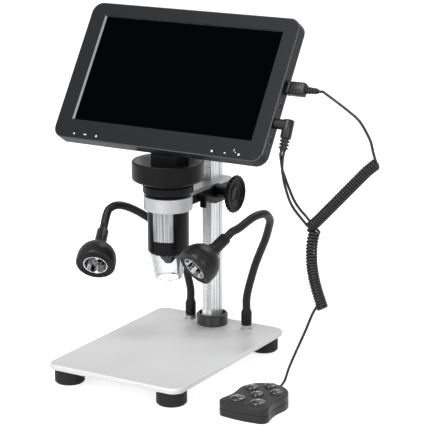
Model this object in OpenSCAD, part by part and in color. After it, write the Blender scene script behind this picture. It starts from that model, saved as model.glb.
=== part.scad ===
// Digital microscope with a tilting display, a rack column, two gooseneck lamps
// and a wired remote control.
// The origin is where the optical axis meets the top face of the base plate.
// X runs to the right, Y to the back and Z up. All sizes are in millimetres.

/* [Base plate] */

// Width of the base plate, left to right
plate_w = 115; // [108:1:125]
// Depth of the base plate, front to back
plate_d = 162; // [158:1:175]
// Thickness of the base plate
plate_t = 4; // [4:0.5:6]
// Diameter of each rubber foot
foot_d = 22.4; // [18:0.2:25]
// Height of each rubber foot
foot_h = 11.5; // [11.5:0.5:15]

/* [Column and arm] */

// Height of the column above the plate
column_h = 164; // [160:1:166]
// Width of the column bar, left to right
column_w = 8; // [8:0.5:10]
// Depth of the column bar, front to back
column_d = 18.2; // [17:0.2:19]
// Width of the arm that rides on the column
arm_w = 20; // [19:0.5:21]
// Diameter of the focus knob on the arm
knob_d = 29.4; // [22:0.2:34]

/* [Microscope] */

// Outer diameter of the microscope body
scope_d = 31; // [30:0.5:33]
// Diameter of the focus wheel
wheel_d = 54; // [48:1:56]
// Height of the clear shroud below the body
shroud_h = 20; // [16:1:21]

/* [Display] */

// Width of the display housing
display_w = 180.3; // [178:0.1:186]
// Height of the display housing along its face
display_h = 112.2; // [111:0.2:114]
// Thickness of the display housing
display_t = 11.5; // [11.5:0.1:12]

/* [Lamps] */

// Radius of the round lamp heads
lamp_r = 15; // [14:0.1:16]
// Outer diameter of the goosenecks
goose_d = 6.2; // [5:0.1:6.8]

/* [Remote control] */

// Height of the remote control
remote_h = 11.5; // [10.6:0.1:12.6]
// Diameter of the four round keys
key_d = 9; // [8:0.1:9.4]
// Diameter of the two front keys
front_key_d = 11.3; // [10:0.1:12]

/* [Hidden] */

$fn = 72;

table_z = -plate_t - foot_h;
edge = 0.8;
corner_r = 9;
foot_in = 12.9;
screw_r = 2;

// column and rack
column_y = 64.6;
plate_back = column_y + 16.4;
plate_y = plate_back - plate_d / 2;
front_y = column_y - column_d / 2;
rack_w = column_w + 1;
pitch = PI / 2;
pinion_z = 111.5;
pinion_teeth = 18;
pitch_r = pinion_teeth / 4;
pinion_y = front_y + 0.5 - pitch_r;
base_r = pitch_r * cos(20);
rack_low = -62;
rack_high = 32;

// arm and ring
arm_top = 118.5;
ring_low = 108.1;
arm_low = 101.5;
arm_back = column_y + column_d / 2 + 2.6;
bore_r = scope_d / 2 + 0.1;
ring_r = bore_r + 2.65;
clamp_y = ring_r + 9.7;
clamp_z = 111.5;

// microscope body
body_r = scope_d / 2;
shell_low = 74.5;
tier_z = 118.8;
tier_r = body_r + 3.5;
wheel_low = 130.1;
wheel_top = 144.9;
neck_low = wheel_low + 4;
core_r = 9;
wheel_r = wheel_d / 2;
panel_turn = -74.6;
nose_low = shell_low - 8.4;
board_z = 115;

// display, in its own frame: x across, y up along the face, z out of the face
face_y = 11.5;
face_z = 206.5;
lean = 57.1;
low_v = -58.5;
mid_v = low_v + display_h / 2;
top_v = low_v + display_h;
mid_x = -0.75;
left = mid_x - display_w / 2;
side = mid_x + display_w / 2;
open_left = left + 13.4;
open_low = low_v + 15.4;
open_w = display_w - 25.3;
open_h = display_h - 26;
case_r = 8.8;
split_d = 5.5;
hinge_v = -33.2;
hinge_d = 14.9;

// lamps
base_left = [-21, 66];
base_right = [30.2, 66];
polar_left = 122.7;
polar_right = 121;
turn_left = -67.8;
turn_right = -110.2;
head_left = [-44, -31.5, 69.5];
head_right = [43.4, -27.3, 78.2];
lamp_low = 3.2;
lamp_face = 5.5;
sleeve_len = 30;
sleeve_r = 4.5;

// remote control
remote_x = 104.4;
remote_top_z = table_z + remote_h;
remote_split = table_z + remote_h / 2;

// flexible parts: round numbers along each route
goose_left = [[-21, 66, 24], [-22.6, 65.4, 33], [-25, 62.5, 47.5], [-30, 56, 63], [-37, 45, 79],
    [-43, 31.5, 90.5], [-48, 18.5, 98.5], [-52, 9.5, 101.5], [-55.5, 4, 99.5], [-56, 0.5, 95.5]];
goose_right = [[30.2, 66, 24], [31.5, 65.8, 31], [34, 65.5, 40], [39, 64, 54], [45.2, 61.5, 67],
    [51, 58, 77.5], [56.4, 53, 88], [60.8, 47, 96.5], [62.5, 38, 103], [62, 31.5, 104.6],
    [60, 24, 103.9], [58, 15, 101.1], [56.6, 8, 98.7]];
usb_v = 2.6;
plug_y = face_y + usb_v * cos(lean) + 8.15 * sin(lean);
plug_z = face_z + usb_v * sin(lean) - 8.15 * cos(lean);
tail_x = side + 24.6;
usb_path = [[side + 31.6, 19, 203], [side + 41, 17.5, 198.4], [side + 51.3, 15.5, 193.2],
    [side + 58.4, 14, 189.2], [side + 62.8, 13, 185.4], [side + 67.1, 12.5, 179.5],
    [side + 70.5, 12, 173.8], [side + 72.7, 12, 166]];
coil_top = [side + 75.3, 12, 159.1];
upper_path = [[side + 68.1, 12, 152.8], [side + 60.8, 12, 145.1], [side + 45.4, 12, 128.5],
    [side + 30, 12, 112]];
coil_knee = [side + 23, 12, 105.2];
lower_top = [side + 27.9, 12, 105];
lower_path = [[side + 25.5, 12, 94.5], [side + 25.5, 12, 79], [side + 28.6, 12, 63.8]];
coil_foot = [side + 35, 12, 46.5];
upper_r = 4.3;
lower_r = 4.4;
dc_v = -26.2;
dc_d = 5.6;
dc_at = [side, face_y + dc_v * cos(lean) + dc_d * sin(lean), face_z + dc_v * sin(lean) - dc_d * cos(lean)];
dc_out = 10.3;
dc_lean = 24.5;
dc_reach = 18.7;
dc_way = [0, -sin(dc_lean), -cos(dc_lean)];
dc_end = dc_at + [dc_out, 0, 0] + dc_reach * dc_way;
lead_side = [0.9, 0.55 * cos(dc_lean), -0.55 * sin(dc_lean)];
lead_a_path = [[side + 11.2, -7.5, 158], [side + 10.6, -6.9, 151], [side + 10.4, -5, 145.5],
    [side + 10.6, -3.2, 139.5], [side + 12.1, 1.8, 126.7], [side + 15, 5, 119], [side + 20, 8, 111.5]];
lead_b_path = [[side + 9.3, -6.4, 157.5], [side + 9.3, -4.3, 150.5], [side + 10.4, -2.6, 145],
    [side + 11.7, -1, 139.4], [side + 14.7, 4, 126.6], [side + 18.9, 6.8, 119], [side + 22.2, 8.2, 115]];
wire_path = [[118.5, 7, 42.5], [115, 4, 31], [111.5, -2, 18], [108, -8, 4.5], [106.4, -12, -5]];

// round tube along a curve through points
function unit(v) = v / norm(v);
function knot(p, i) = p[max(0, min(len(p) - 1, i))];
function bend(a, b, c, d, t) = 0.5 * (2 * b + (c - a) * t + (2 * a - 5 * b + 4 * c - d) * t * t
    + (3 * b - a - 3 * c + d) * t * t * t);
function curve(p, k) = [for (i = [0 : len(p) - 2]) for (j = [0 : k - 1])
    bend(knot(p, i - 1), knot(p, i), knot(p, i + 1), knot(p, i + 2), j / k), p[len(p) - 1]];
function ahead(c, i) = unit(knot(c, i + 1) - knot(c, i - 1));
function sidestep(c, i, q) = unit(q - ahead(c, i) * (q * ahead(c, i)));
function frames(c, i, q) = i == len(c) ? [] :
    let (s = sidestep(c, i, q)) concat([s], frames(c, i + 1, s));
function ring_points(c, q, r, n) = let (f = frames(c, 0, q)) [for (i = [0 : len(c) - 1])
    for (j = [0 : n - 1]) c[i] + r * (cos(360 * j / n) * f[i]
    + sin(360 * j / n) * cross(ahead(c, i), f[i]))];

module tube(c, r, n = 8, q = [0, 1, 0.1]) {
    m = len(c);
    walls = [for (i = [0 : m - 2]) for (j = [0 : n - 1])
        [i * n + j, (i + 1) * n + j, (i + 1) * n + (j + 1) % n, i * n + (j + 1) % n]];
    caps = [[for (j = [0 : n - 1]) j], [for (j = [0 : n - 1]) m * n - 1 - j]];
    polyhedron(points = ring_points(c, q, r, n), faces = concat(walls, caps), convexity = 6);
}

// rounded plate with bevelled edges, centred on X and Y, standing on z = 0
module slab(w, d, t, r, low, high) {
    for (x = [-1, 1]) for (y = [-1, 1]) translate([x * (w / 2 - r), y * (d / 2 - r), 0])
        rotate_extrude()
            polygon([[0, 0], [r - low, 0], [r, low], [r, t - high], [r - high, t], [0, t]]);
    translate([-(w / 2 - r), 0, 0]) rotate([90, 0, 90]) linear_extrude(w - 2 * r)
        edge_profile(d, t, low, high);
    translate([0, d / 2 - r, 0]) rotate([90, 0, 0]) linear_extrude(d - 2 * r)
        edge_profile(w, t, low, high);
}

module edge_profile(d, t, low, high) {
    polygon([[-d / 2 + low, 0], [d / 2 - low, 0], [d / 2, low], [d / 2, t - high],
        [d / 2 - high, t], [-d / 2 + high, t], [-d / 2, t - high], [-d / 2, low]]);
}

module rounded(w, d, t, r) {
    slab(w, d, t, r, 0, 0);
}

module at_feet() {
    for (x = [-1, 1]) for (y = [-1, 1])
        translate([x * (plate_w / 2 - foot_in), plate_y + y * (plate_d / 2 - foot_in), 0])
            children();
}

module at_lamps() {
    for (p = [base_left, base_right]) translate(p)
        children();
}

module on_face() {
    translate([0, face_y, face_z]) rotate([lean, 0, 0])
        children();
}

module across(y, z, x = 0) {
    translate([x, y, z]) rotate([90, 0, 90])
        children();
}

// base plate and feet
module base_plate() color([0.75, 0.76, 0.77]) {
    difference() {
        translate([0, plate_y, -plate_t]) slab(plate_w, plate_d, plate_t, corner_r, 0.4, edge);
        at_feet() translate([0, 0, -plate_t - 1]) cylinder(r = screw_r + 0.1, h = 3.6);
        translate([0, column_y, -plate_t - 1]) cylinder(r = screw_r + 0.1, h = plate_t + 2);
        translate([0, column_y, -plate_t - 1]) cylinder(r = 3.9, h = 3.4);
        at_lamps() translate([0, 0, -plate_t - 1]) cylinder(r = 2.1, h = plate_t + 2);
    }
}

module feet() color([0.06, 0.06, 0.06]) {
    at_feet() difference() {
        translate([0, 0, table_z]) rotate_extrude()
            polygon([[0, 0], [foot_d / 2 - 1.2, 0], [foot_d / 2, 1.2], [foot_d / 2, foot_h - 1],
                [foot_d / 2 - 1, foot_h], [0, foot_h]]);
        translate([0, 0, table_z - 1]) cylinder(r = 4.4, h = 5);
        translate([0, 0, table_z - 1]) cylinder(r = screw_r + 0.1, h = foot_h + 2);
    }
}

module foot_screws() color([0.6, 0.6, 0.62]) {
    at_feet() difference() {
        union() {
            translate([0, 0, table_z + 1.6]) cylinder(r = 3.8, h = 2.4);
            translate([0, 0, table_z + 3.9]) cylinder(r = screw_r, h = foot_h - 3.9 + 2.4);
        }
        translate([0, 0, table_z + 1]) linear_extrude(1.8) square([4.6, 0.9], center = true);
        translate([0, 0, table_z + 1]) linear_extrude(1.8) square([0.9, 4.6], center = true);
    }
}

// column
module rack_slots() {
    across(0, 0, -rack_w / 2) linear_extrude(rack_w) for (k = [rack_low : rack_high])
        polygon([[front_y - 1, pinion_z + k * pitch - 0.98], [front_y + 1.15, pinion_z + k * pitch - 0.2],
            [front_y + 1.15, pinion_z + k * pitch + 0.2], [front_y - 1, pinion_z + k * pitch + 0.98]]);
}

module column() color([0.78, 0.79, 0.8]) {
    difference() {
        translate([-column_w / 2, front_y, 0]) cube([column_w, column_d, column_h]);
        rack_slots();
        for (x = [-1, 1]) translate([x * column_w / 2 - 0.7, column_y + 3.6, 0.5])
            cube([1.4, 1.3, column_h]);
        translate([0, column_y, -1]) cylinder(r = screw_r + 0.1, h = 15);
    }
}

module column_collar() color([0.05, 0.05, 0.05]) {
    translate([0, column_y, 0]) difference() {
        rotate_extrude() polygon([[0, 0], [12.2, 0], [12.2, 8.1], [11.4, 8.9], [10.4, 8.9],
            [10.4, 2], [0, 2]]);
        translate([-column_w / 2 - 0.05, -column_d / 2 - 0.05, -1])
            cube([column_w + 0.1, column_d + 0.1, 12]);
    }
}

module column_bolt() color([0.6, 0.6, 0.62]) {
    translate([0, column_y, 0]) difference() {
        union() {
            translate([0, 0, -plate_t + 0.2]) cylinder(r = 3.6, h = 2.1);
            translate([0, 0, -plate_t + 1]) cylinder(r = screw_r, h = plate_t + 11);
        }
        translate([0, 0, -plate_t]) linear_extrude(1.6) circle(r = 1.7, $fn = 6);
    }
}

module lamp_studs() color([0.7, 0.7, 0.72]) {
    at_lamps() {
        cylinder(r = 4.8, h = 0.6);
        translate([0, 0, 0.6]) linear_extrude(lamp_low - 0.6) circle(r = 4.6, $fn = 6);
        translate([0, 0, -plate_t + 0.2]) cylinder(r = 1.9, h = plate_t + 10);
    }
}

// arm with its clamp ring and slide
module arm() color([0.8, 0.81, 0.82]) {
    difference() {
        union() {
            translate([0, 0, ring_low]) cylinder(r = ring_r, h = arm_top - 0.1 - ring_low);
            across(0, 0, -arm_w / 2) linear_extrude(arm_w)
                polygon([[14, arm_top], [arm_back, arm_top], [arm_back, arm_low], [52.3, arm_low],
                    [40, 106.3], [34, ring_low], [14, ring_low]]);
        }
        translate([0, 0, ring_low - 1]) cylinder(r = bore_r, h = 20);
        translate([-column_w / 2 - 0.06, front_y - 0.06, arm_low - 1])
            cube([column_w + 0.12, column_d + 0.12, 20]);
        across(pinion_y, pinion_z, -1.7) cylinder(r = pitch_r + 1, h = arm_w);
        across(pinion_y, pinion_z, -arm_w / 2 + 2) cylinder(r = 2.56, h = arm_w / 2);
        translate([-0.8, 10, ring_low - 1]) cube([1.6, 27, 14]);
        across(clamp_y, clamp_z, -8.2) cylinder(r = screw_r + 0.06, h = 20);
    }
}

module pinion_cover() color([0.12, 0.12, 0.12]) {
    difference() {
        across(0, 0, arm_w / 2) linear_extrude(1.2)
            polygon([[36, 108.8], [37, 113], [48, 116.6], [56, 116.9], [61, 114], [63, 107],
                [59.5, 102.4], [52.6, 102.1], [44, 105.7]]);
        across(pinion_y, pinion_z, arm_w / 2 - 1) cylinder(r = 3.06, h = 4);
    }
}

function inv(r) = tan(acos(base_r / r)) * 180 / PI - acos(base_r / r);
function half(r) = 5 - 0.55 + inv(pitch_r) - inv(max(r, base_r + 0.001));

module pinion() color([0.75, 0.68, 0.45]) {
    rows = [3.87, base_r + 0.02, 4.4, 4.6, 4.8, 5];
    outline = [for (t = [0 : pinion_teeth - 1]) for (s = [-1, 1]) for (i = [0 : 5])
        let (r = rows[s < 0 ? i : 5 - i]) let (a = t * 20 + s * half(r)) [r * cos(a), r * sin(a)]];
    across(pinion_y, pinion_z, -1.4) linear_extrude(2.8) polygon(outline);
    across(pinion_y, pinion_z, -7.8) cylinder(r = 2.5, h = 6.4);
    across(pinion_y, pinion_z, 1.4) cylinder(r = 3, h = arm_w / 2 + 1);
    across(pinion_y, pinion_z, arm_w / 2 + 2) cylinder(r = 2, h = 14.3);
}

module focus_knob() color([0.05, 0.05, 0.05]) {
    across(pinion_y, pinion_z, arm_w / 2 + 1.5) difference() {
        union() {
            cylinder(r = 4.8, h = 14.9);
            translate([0, 0, 14.4]) rotate_extrude()
                polygon([[0, 0], [knob_d / 2 - 1.4, 0], [knob_d / 2 - 0.3, 1.1], [knob_d / 2 - 0.3, 2.6],
                    [knob_d / 2 - 1.2, 3.5], [knob_d / 2 - 2.8, 3.5], [knob_d / 2 - 3.6, 2.4], [0, 2.4]]);
            for (a = [0 : 15 : 345]) rotate([0, 0, a]) translate([knob_d / 2 - 1.5, -1, 15.4])
                cube([1.6, 2, 1.9]);
        }
        translate([0, 0, -1]) cylinder(r = 3.1, h = 2);
        translate([0, 0, -1]) cylinder(r = 2.05, h = 16.5);
    }
}

module clamp_screw() color([0.05, 0.05, 0.05]) {
    across(clamp_y, clamp_z, -8) cylinder(r = screw_r, h = arm_w / 2 + 9);
    across(clamp_y, clamp_z, arm_w / 2 + 0.4) cylinder(r = 3, h = 1.8);
    translate([arm_w / 2 + 1.4, clamp_y - 1, clamp_z - 7.2]) cube([4.6, 2, 9.6]);
}

// microscope body
module scope_shell() color([0.05, 0.05, 0.05]) {
    difference() {
        rotate_extrude() polygon([[6.6, shell_low + 3], [13, shell_low + 3], [13, shell_low],
            [body_r - 1.5, shell_low], [body_r - 0.5, shell_low + 0.6], [body_r, shell_low + 1.8],
            [body_r, tier_z], [tier_r - 2.4, tier_z], [tier_r - 0.4, tier_z + 2.2], [tier_r, tier_z + 3],
            [tier_r, tier_z + 7.6], [tier_r - 1, tier_z + 8.4], [tier_r - 1, wheel_low - 0.3],
            [core_r, wheel_low - 0.3], [core_r, neck_low], [core_r - 2, neck_low],
            [core_r - 2, wheel_low - 2.6], [body_r - 2, wheel_low - 2.6], [body_r - 2, shell_low + 5],
            [6.6, shell_low + 5]]);
        panel_shape(body_r - 0.7, body_r + 1, 30.4, 85.3, 108.6);
    }
}

module panel_shape(r1, r2, half_turn, low, high) {
    rotate([0, 0, panel_turn]) translate([0, 0, low]) intersection() {
        difference() {
            cylinder(r = r2, h = high - low);
            translate([0, 0, -1]) cylinder(r = r1, h = high - low + 2);
        }
        linear_extrude(high - low) polygon([[0, 0], [40 * cos(half_turn), -40 * sin(half_turn)],
            [40 * cos(half_turn), 40 * sin(half_turn)]]);
    }
}

module shell_panel() color([0.78, 0.78, 0.8]) {
    panel_shape(body_r - 0.65, body_r + 0.1, 30, 85.5, 108.05);
}

module led_ring() color([0.08, 0.2, 0.12]) {
    translate([0, 0, shell_low + 1.6]) difference() {
        cylinder(r = 12.8, h = 1.3);
        translate([0, 0, -1]) cylinder(r = 6.8, h = 4);
    }
    for (a = [22.5 : 45 : 337.5]) rotate([0, 0, a]) translate([10, 0, shell_low - 0.4]) {
        cylinder(r = 1.3, h = 2.1);
        sphere(r = 1.3, $fn = 24);
    }
}

module shroud() color([0.9, 0.93, 0.95, 0.35]) {
    translate([0, 0, shell_low - shroud_h]) rotate_extrude()
        polygon([[9.2, 0], [9.8, 0], [10.5, 0.7], [body_r - 1.6, shroud_h], [body_r - 2.8, shroud_h],
            [9.2, 1]]);
}

module sensor_board() color([0.1, 0.35, 0.2]) {
    translate([0, 0, board_z]) cylinder(r = body_r - 2.2, h = 1.2);
    translate([-4.5, -4.5, board_z - 2]) cube([9, 9, 2.1]);
    translate([-6, 5.5, board_z + 1.1]) cube([12, 4, 3]);
}

module lens_carrier() color([0.05, 0.05, 0.05]) {
    rotate_extrude() polygon([[2.2, nose_low], [2.7, nose_low], [6.3, nose_low + 4.2],
        [6.3, 96], [body_r - 2.5, 96], [body_r - 2.5, 99], [8, 99], [8, 104], [6.6, 104], [6.6, 98],
        [4.8, 98], [4.8, nose_low + 6], [2.2, nose_low + 2]]);
}

module lens() color([0.6, 0.7, 0.8, 0.4]) {
    translate([0, 0, 76]) rotate_extrude() polygon([[0, 0], [4.7, 0.6], [4.7, 3], [0, 3.8]]);
    translate([0, 0, 90]) rotate_extrude() polygon([[0, 0.6], [4.7, 0], [4.7, 2.6], [0, 2]]);
}

module focus_wheel() color([0.06, 0.06, 0.06]) {
    rotate_extrude() polygon([[core_r + 0.4, wheel_low], [wheel_r - 1.8, wheel_low],
        [wheel_r - 0.6, wheel_low + 0.8], [wheel_r, wheel_low + 2], [wheel_r, wheel_top - 0.8],
        [wheel_r - 0.8, wheel_top], [wheel_r - 2, wheel_top], [wheel_r - 2.6, wheel_top - 0.6],
        [wheel_r - 2.6, neck_low - 0.7], [core_r + 0.4, neck_low - 0.7]]);
}

// post that carries the display hinge
module neck() color([0.06, 0.06, 0.06]) {
    difference() {
        union() {
            across(0, 0, -10.85) linear_extrude(21.7)
                polygon([[-6.5, neck_low], [12, neck_low], [12, 168], [6, 171],
                    [0.8, 165], [-6.5, 149.6]]);
            on_face() across(hinge_v, -hinge_d, -12.2) cylinder(r = 7.3, h = 24.4);
        }
        on_face() across(hinge_v, -hinge_d, -14) cylinder(r = 2.06, h = 28);
        translate([0, 0, neck_low - 1]) cylinder(r = 4, h = 22);
        for (y = [-5 : 2.2 : 10.5]) for (x = [-1, 1])
            translate([x * 10.85 - 0.4, y, neck_low + 1]) cube([0.8, 1.1, 25]);
    }
}

// display
module bezel() color([0.13, 0.13, 0.14]) {
    on_face() difference() {
        translate([mid_x, mid_v, -split_d]) slab(display_w, display_h, split_d, case_r, 0, 0.7);
        translate([mid_x, mid_v, -split_d - 1])
            rounded(display_w - 4, display_h - 4, split_d - 0.5, case_r - 4);
        translate([open_left, open_low, -3]) cube([open_w, open_h, 6]);
        side_openings(0.15);
    }
}

module side_openings(gap) {
    translate([side - 3, usb_v - 4.2 - gap, -9.8 - gap]) cube([4, 8.4 + 2 * gap, 3.2 + 2 * gap]);
    for (v = [-13, -39]) translate([side - 3, v - 3.2 - gap, -7.2 - gap])
        cube([4, 6.4 + 2 * gap, 3.2 + 2 * gap]);
    across(dc_v, -dc_d, side - 3) cylinder(r = 2.5 + gap, h = 4);
}

module lcd_panel() color([0.02, 0.02, 0.03]) {
    on_face() translate([left + 8.8, low_v + 8.9, -4.9]) cube([display_w - 15.8, display_h - 12.8, 3.3]);
}

module at_corners() {
    for (x = [left + 7.2, side - 5.4]) for (v = [low_v + 6.9, top_v - 8.9]) translate([x, v, 0])
        children();
}

module rear_cover() color([0.1, 0.1, 0.11]) {
    on_face() difference() {
        union() {
            difference() {
                translate([mid_x, mid_v, -display_t])
                    slab(display_w, display_h, display_t - split_d, case_r, 1.2, 0);
                translate([mid_x, mid_v, -display_t + 1.6])
                    rounded(display_w - 4, display_h - 4, display_t, case_r - 4);
            }
            translate([-14.2, hinge_v - 11, -display_t + 0.2]) cube([28.4, 22, display_t - 5.9]);
            at_corners() translate([0, 0, -display_t + 0.2]) cylinder(r = 2.7, h = display_t - split_d - 0.3);
        }
        translate([-12.6, hinge_v - 9.6, -display_t - 1]) cube([25.2, 19.2, display_t - 5.7]);
        at_corners() translate([0, 0, -display_t - 1]) cylinder(r = 1.3, h = 8);
        at_corners() translate([0, 0, -display_t - 1]) cylinder(r = 2.1, h = 2.7);
        for (x = [-60 : 6 : -30]) translate([x, top_v - 38.9, -display_t - 1]) cube([2.4, 22, 3]);
        side_openings(0.15);
    }
}

module rear_screws() color([0.25, 0.25, 0.27]) {
    on_face() at_corners() {
        difference() {
            translate([0, 0, -display_t + 0.3]) cylinder(r = 1.9, h = 1.3);
            translate([0, 0, -display_t]) linear_extrude(0.9) square([2.4, 0.5], center = true);
            translate([0, 0, -display_t]) linear_extrude(0.9) square([0.5, 2.4], center = true);
        }
        translate([0, 0, -display_t + 1.5]) cylinder(r = 1.2, h = 4.3);
    }
}

module main_board() color([0.1, 0.35, 0.2]) {
    on_face() {
        translate([side - 73, low_v + 12.9, -6.5]) cube([57, display_h - 24.8, 1]);
        translate([side - 16.1, -12, -6.5]) cube([10, 24, 1]);
        translate([side - 60, 4, -8.2]) cube([14, 14, 1.8]);
        translate([side - 40, -20, -7.9]) cube([10, 8, 1.5]);
        translate([side - 62, -34, -7.9]) cube([16, 9, 1.5]);
        translate([side - 36, 24, -8.4]) cube([12, 5, 2]);
    }
}

module side_sockets() color([0.8, 0.8, 0.82]) {
    on_face() {
        translate([side - 7, 0, 0]) difference() {
            translate([0, usb_v - 4, -9.7]) cube([6.8, 8, 3.05]);
            translate([1, usb_v - 3.5, -9.3]) cube([7, 7, 2.3]);
        }
        for (v = [-13, -39]) translate([side - 6, 0, 0]) difference() {
            translate([0, v - 3, -7.1]) cube([5.8, 6, 3]);
            translate([1, v - 2.6, -6.7]) cube([7, 5.2, 2.2]);
        }
        across(dc_v, -dc_d, side - 6) difference() {
            cylinder(r = 2.4, h = 5.8);
            translate([0, 0, 1]) cylinder(r = 1.9, h = 7);
        }
    }
}

module hinge_yoke() color([0.1, 0.1, 0.1]) {
    on_face() for (x = [-1, 1]) {
        across(hinge_v, -hinge_d, x * 14.1 - 1.4) difference() {
            union() {
                cylinder(r = 5.2, h = 2.8);
                translate([-5.2, 0, 0]) cube([10.4, hinge_d - display_t, 2.8]);
            }
            translate([0, 0, -1]) cylinder(r = 2.1, h = 6);
            translate([-12, hinge_d - display_t, -1]) cube([24, 6, 6]);
        }
        translate([x * 17.4 - 2, hinge_v - 9, -display_t - 1.6]) cube([4, 18, 1.6]);
    }
}

module hinge_pin() color([0.7, 0.7, 0.72]) {
    on_face() across(hinge_v, -hinge_d, -16.6) cylinder(r = 2, h = 33.2);
}

// plugs and cords
module usb_plug() color([0.04, 0.04, 0.04]) {
    translate([side, plug_y, plug_z]) rotate([lean, 0, 0]) {
        translate([-5.5, -3.2, -1]) cube([5.8, 6.4, 2]);
        translate([0.3, -4.8, -3.1]) cube([2, 9.6, 6.2]);
        translate([2.2, 0, 0]) rotate([90, 0, 90]) linear_extrude(12.8)
            polygon([[-4.9, -1.9], [-3.6, -3.4], [3.6, -3.4], [4.9, -1.9], [4.9, 1.9], [3.6, 3.4],
                [-3.6, 3.4], [-4.9, 1.9]]);
    }
    translate([side + 14, plug_y, plug_z]) rotate([0, 90, 0]) {
        cylinder(r = 1.9, h = 10.6);
        for (i = [0 : 3]) translate([0, 0, 1.2 + 2.3 * i]) cylinder(r = 2.7 - 0.15 * i, h = 1.3);
    }
}

module dc_plug() color([0.04, 0.04, 0.04]) {
    translate(dc_at) rotate([0, 90, 0]) {
        translate([0, 0, -5]) cylinder(r = 1.75, h = 6);
        cylinder(r = 3.8, h = dc_out);
    }
    translate(dc_at + [dc_out, 0, 0]) rotate([180 - dc_lean, 0, 0]) {
        translate([0, 0, -4]) rotate_extrude()
            polygon([[0, 0], [3.2, 0], [4, 0.8], [4, 13.7], [3.4, 14.3], [0, 14.3]]);
        cylinder(r = 2.4, h = dc_reach);
        for (i = [0 : 2]) translate([0, 0, 11.1 + 2.5 * i]) cylinder(r = 3.6 - 0.1 * i, h = 1.6);
    }
}

module usb_wire() color([0.04, 0.04, 0.04]) {
    tube(curve(concat([for (i = [0 : 2]) [tail_x + 2 * i, plug_y, plug_z]], usb_path,
        [coil_top + [-1.5, 0, 2.8]]), 2), 1);
}

module coil_upper() color([0.04, 0.04, 0.04]) {
    tube(curve(concat([coil_top], upper_path, [coil_knee]), 2), upper_r);
}

module coil_lower() color([0.04, 0.04, 0.04]) {
    tube(curve(concat([lower_top], lower_path, [coil_foot]), 2), lower_r);
}

module dc_lead_a() color([0.04, 0.04, 0.04]) {
    tube(curve(concat([for (i = [0 : 2]) dc_end + lead_side + 1.5 * i * dc_way], lead_a_path,
        [coil_knee + [0.2, -2.5, 2]]), 2), 1);
}

module dc_lead_b() color([0.04, 0.04, 0.04]) {
    tube(curve(concat([for (i = [0 : 2]) dc_end - lead_side + 1.5 * i * dc_way], lead_b_path,
        [coil_knee + [2.6, -2.5, 5]]), 2), 1);
}

module remote_wire() color([0.04, 0.04, 0.04]) {
    tube(curve(concat([coil_foot + [-3.6, -1.5, 2]], wire_path,
        [for (i = [0 : 2]) [remote_x, -17 - 3 * i, -9.5]]), 2), 1);
}

// lamps
module head_at(c, polar, turn) {
    translate(c) rotate([0, polar, turn])
        children();
}

module lamp_base() {
    difference() {
        rotate_extrude() polygon([[0, lamp_low], [3.7, lamp_low], [4.2, lamp_low + 1.8], [4.2, 13.6],
            [3.6, 14.4], [3.4, 16], [0, 16]]);
        translate([0, 0, lamp_low - 0.4]) cylinder(r = 1.96, h = 11.4 - lamp_low);
    }
}

module lamp_sleeve() {
    translate([0, 0, -sleeve_len]) cylinder(r = sleeve_r, h = sleeve_len - lamp_r + 0.2);
}

module lamp_shell() {
    difference() {
        union() {
            difference() {
                sphere(r = lamp_r);
                translate([-20, -20, 0]) cube([40, 40, 20]);
            }
            rotate_extrude() polygon([[0, 0], [lamp_r, 0], [lamp_r, lamp_face - 0.8],
                [lamp_r - 0.8, lamp_face], [0, lamp_face]]);
        }
        translate([0, 0, -4]) cylinder(r = 9.2, h = 12);
        for (r = [10.3 : 1.3 : 12.9]) translate([0, 0, lamp_face - 0.4]) difference() {
            cylinder(r = r + 0.6, h = 2);
            translate([0, 0, -1]) cylinder(r = r, h = 4);
        }
        translate([0, 0, -30]) cylinder(r = sleeve_r + 2, h = 30 - lamp_r + 0.2);
    }
}

module reflector() {
    rotate_extrude() polygon([[1.9, -3.8], [5.4, -3.8], [8.2, 0.2], [9.1, 5.2], [8.4, 5.2], [7.4, 0.8],
        [5, -3], [1.9, -3]]);
}

module lamp_led() {
    translate([0, 0, -3.9]) cylinder(r = 1.8, h = 2.4);
    translate([0, 0, -1.5]) sphere(r = 1.8, $fn = 32);
}

module gooseneck(path, head, polar, turn) {
    n = [sin(polar) * cos(turn), sin(polar) * sin(turn), cos(polar)];
    tube(curve(concat([[path[0][0], path[0][1], 16.02]], path, [for (i = [2 : -1 : 0])
        head - (sleeve_len + 3 * i) * n]), 2), goose_d / 2, 12);
}

module lamp_base_left() color([0.06, 0.06, 0.06]) {
    translate(base_left) lamp_base();
}

module lamp_base_right() color([0.06, 0.06, 0.06]) {
    translate(base_right) lamp_base();
}

module gooseneck_left() color([0.07, 0.07, 0.07]) {
    gooseneck(goose_left, head_left, polar_left, turn_left);
}

module gooseneck_right() color([0.07, 0.07, 0.07]) {
    gooseneck(goose_right, head_right, polar_right, turn_right);
}

module lamp_sleeve_left() color([0.06, 0.06, 0.06]) {
    head_at(head_left, polar_left, turn_left) lamp_sleeve();
}

module lamp_sleeve_right() color([0.06, 0.06, 0.06]) {
    head_at(head_right, polar_right, turn_right) lamp_sleeve();
}

module lamp_shell_left() color([0.06, 0.06, 0.06]) {
    head_at(head_left, polar_left, turn_left) lamp_shell();
}

module lamp_shell_right() color([0.06, 0.06, 0.06]) {
    head_at(head_right, polar_right, turn_right) lamp_shell();
}

module reflector_left() color([0.85, 0.85, 0.87]) {
    head_at(head_left, polar_left, turn_left) reflector();
}

module reflector_right() color([0.85, 0.85, 0.87]) {
    head_at(head_right, polar_right, turn_right) reflector();
}

module lamp_led_left() color([0.95, 0.95, 0.8]) {
    head_at(head_left, polar_left, turn_left) lamp_led();
}

module lamp_led_right() color([0.95, 0.95, 0.8]) {
    head_at(head_right, polar_right, turn_right) lamp_led();
}

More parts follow.
